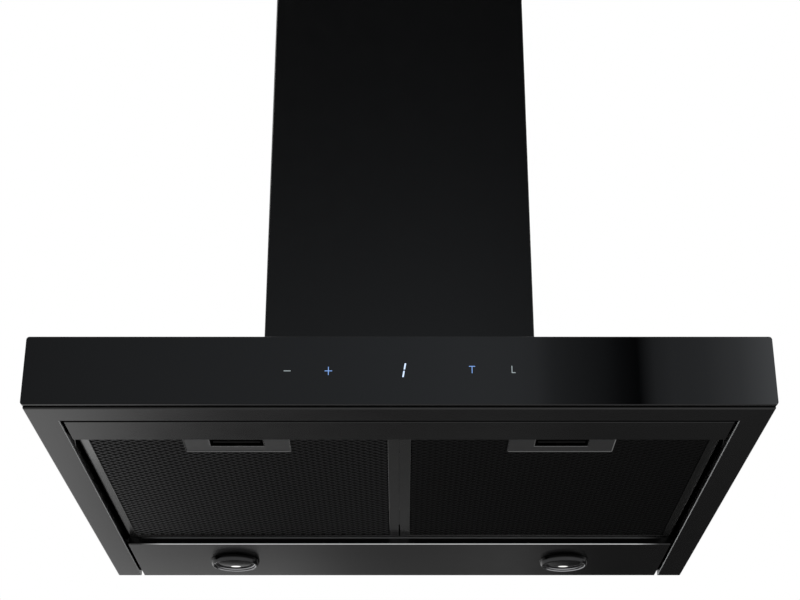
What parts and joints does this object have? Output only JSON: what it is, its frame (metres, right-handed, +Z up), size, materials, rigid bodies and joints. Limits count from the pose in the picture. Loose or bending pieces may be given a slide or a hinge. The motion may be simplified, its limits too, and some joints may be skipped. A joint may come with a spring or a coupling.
{
  "type": "chimney range hood",
  "caption": "wall-mounted chimney range hood: flat box canopy with black glass front and lit touch keys, mesh grease filters, rear lamps, telescopic chimney cover",
  "frame": {"origin": "on the wall plane, at the middle of the canopy's lower rear edge, level with the underside", "axes": "+X to the right seen from the front, +Y into the wall, +Z up"},
  "size_m": [0.598, 0.5, 0.746],
  "materials": {
    "black_coat": "satin black powder coat on folded sheet steel",
    "black_glass": "tempered glass, black behind, polished edges",
    "foam_tape": "black foam tape",
    "black_plastic": "moulded black plastic, fine grain",
    "green_board": "lacquered circuit board",
    "clear_guide": "clear light guide",
    "digit_block": "dark display block",
    "zinc_steel": "zinc-plated sheet steel",
    "black_screw": "blackened screws",
    "bright_steel": "bright steel",
    "capacitor_can": "plain aluminium",
    "iron_core": "lacquered iron laminations and windings",
    "bush_rubber": "soft black rubber",
    "flap_plastic": "grey moulded plastic",
    "filter_coat": "black-coated aluminium, brushed under the coat",
    "filter_mesh": "black-coated expanded aluminium mesh",
    "lamp_black_chrome": "black chrome, stepped rings",
    "lamp_lens": "frosted lens"
  },
  "bodies": {
    "canopy": {"canopy_shell": "black_coat", "front_rail": "black_coat", "lamp_panel": "black_coat", "panel_rivets": "bright_steel", "glass_panel": "black_glass", "glass_tape": "foam_tape", "touch_board_holder": "black_plastic", "touch_board": "green_board", "key_light_guides": "clear_guide", "digit_display": "digit_block", "control_box": "black_plastic", "control_box_lid": "black_plastic", "power_board": "green_board", "motor_capacitor": "capacitor_can", "transformer": "iron_core", "lamp_clips": "zinc_steel", "blower_case": "zinc_steel", "case_screws": "bright_steel", "cable_gland": "black_plastic", "filter_catch_left": "zinc_steel", "filter_catch_right": "zinc_steel", "lamp_bezel_left": "lamp_black_chrome", "lamp_bezel_right": "lamp_black_chrome", "lamp_lens_left": "lamp_lens", "lamp_lens_right": "lamp_lens", "lamp_body_left": "capacitor_can", "lamp_body_right": "capacitor_can", "scroll_left": "black_plastic", "scroll_right": "black_plastic", "inlet_ring_left": "black_plastic", "inlet_ring_right": "black_plastic", "motor": "iron_core", "motor_bracket": "zinc_steel", "motor_bushes": "bush_rubber", "bracket_screws": "bright_steel", "outlet_collar": "black_plastic", "flap_pin": "bright_steel", "hanging_plate": "zinc_steel", "lower_chimney": "black_coat", "chimney_screws": "black_screw"},
    "upper_cover": {"upper_chimney": "black_coat", "upper_cover_screws": "black_screw", "chimney_bracket": "zinc_steel"},
    "fan_wheel": {"impeller_hub": "black_plastic", "impeller_left": "black_plastic", "impeller_right": "black_plastic", "motor_shaft": "bright_steel"},
    "front_flap": {"flap_front": "flap_plastic"},
    "rear_flap": {"flap_rear": "flap_plastic"},
    "left_filter": {"filter_frame_left": "filter_coat", "filter_mesh_left": "filter_mesh", "filter_handle_left": "filter_coat", "latch_spring_left": "bright_steel"},
    "left_latch": {"filter_latch_left": "filter_coat"},
    "right_filter": {"filter_frame_right": "filter_coat", "filter_mesh_right": "filter_mesh", "filter_handle_right": "filter_coat", "latch_spring_right": "bright_steel"},
    "right_latch": {"filter_latch_right": "filter_coat"}
  },
  "joints": [
    {"name": "upper_cover_slide", "type": "slide", "parent": "canopy", "child": "upper_cover", "axis": [0, 0, 1], "range_m": [-0.13, 0.24]},
    {"name": "fan_spin", "type": "hinge", "parent": "canopy", "child": "fan_wheel", "pos_m": [0, -0.16, 0.185], "axis": [1, 0, 0], "continuous": true},
    {"name": "front_flap_swing", "type": "hinge", "parent": "canopy", "child": "front_flap", "pos_m": [0, -0.116, 0.343], "axis": [-1, 0, 0], "range_deg": [0, 80]},
    {"name": "rear_flap_swing", "type": "hinge", "parent": "canopy", "child": "rear_flap", "pos_m": [0, -0.116, 0.343], "axis": [1, 0, 0], "range_deg": [0, 80]},
    {"name": "left_filter_tilt", "type": "hinge", "parent": "canopy", "child": "left_filter", "pos_m": [0, -0.1162, 0.0072], "axis": [1, 0, 0], "range_deg": [0, 45], "deforming": ["filter_catch_left"]},
    {"name": "left_latch_slide", "type": "slide", "parent": "left_filter", "child": "left_latch", "axis": [0, 1, 0], "range_m": [0, 0.004], "stiffness_N_per_m": 400, "springref_m": -0.003, "deforming": ["latch_spring_left"]},
    {"name": "right_filter_tilt", "type": "hinge", "parent": "canopy", "child": "right_filter", "pos_m": [0, -0.1162, 0.0072], "axis": [1, 0, 0], "range_deg": [0, 45], "deforming": ["filter_catch_right"]},
    {"name": "right_latch_slide", "type": "slide", "parent": "right_filter", "child": "right_latch", "axis": [0, 1, 0], "range_m": [0, 0.004], "stiffness_N_per_m": 400, "springref_m": -0.003, "deforming": ["latch_spring_right"]}
  ]
}
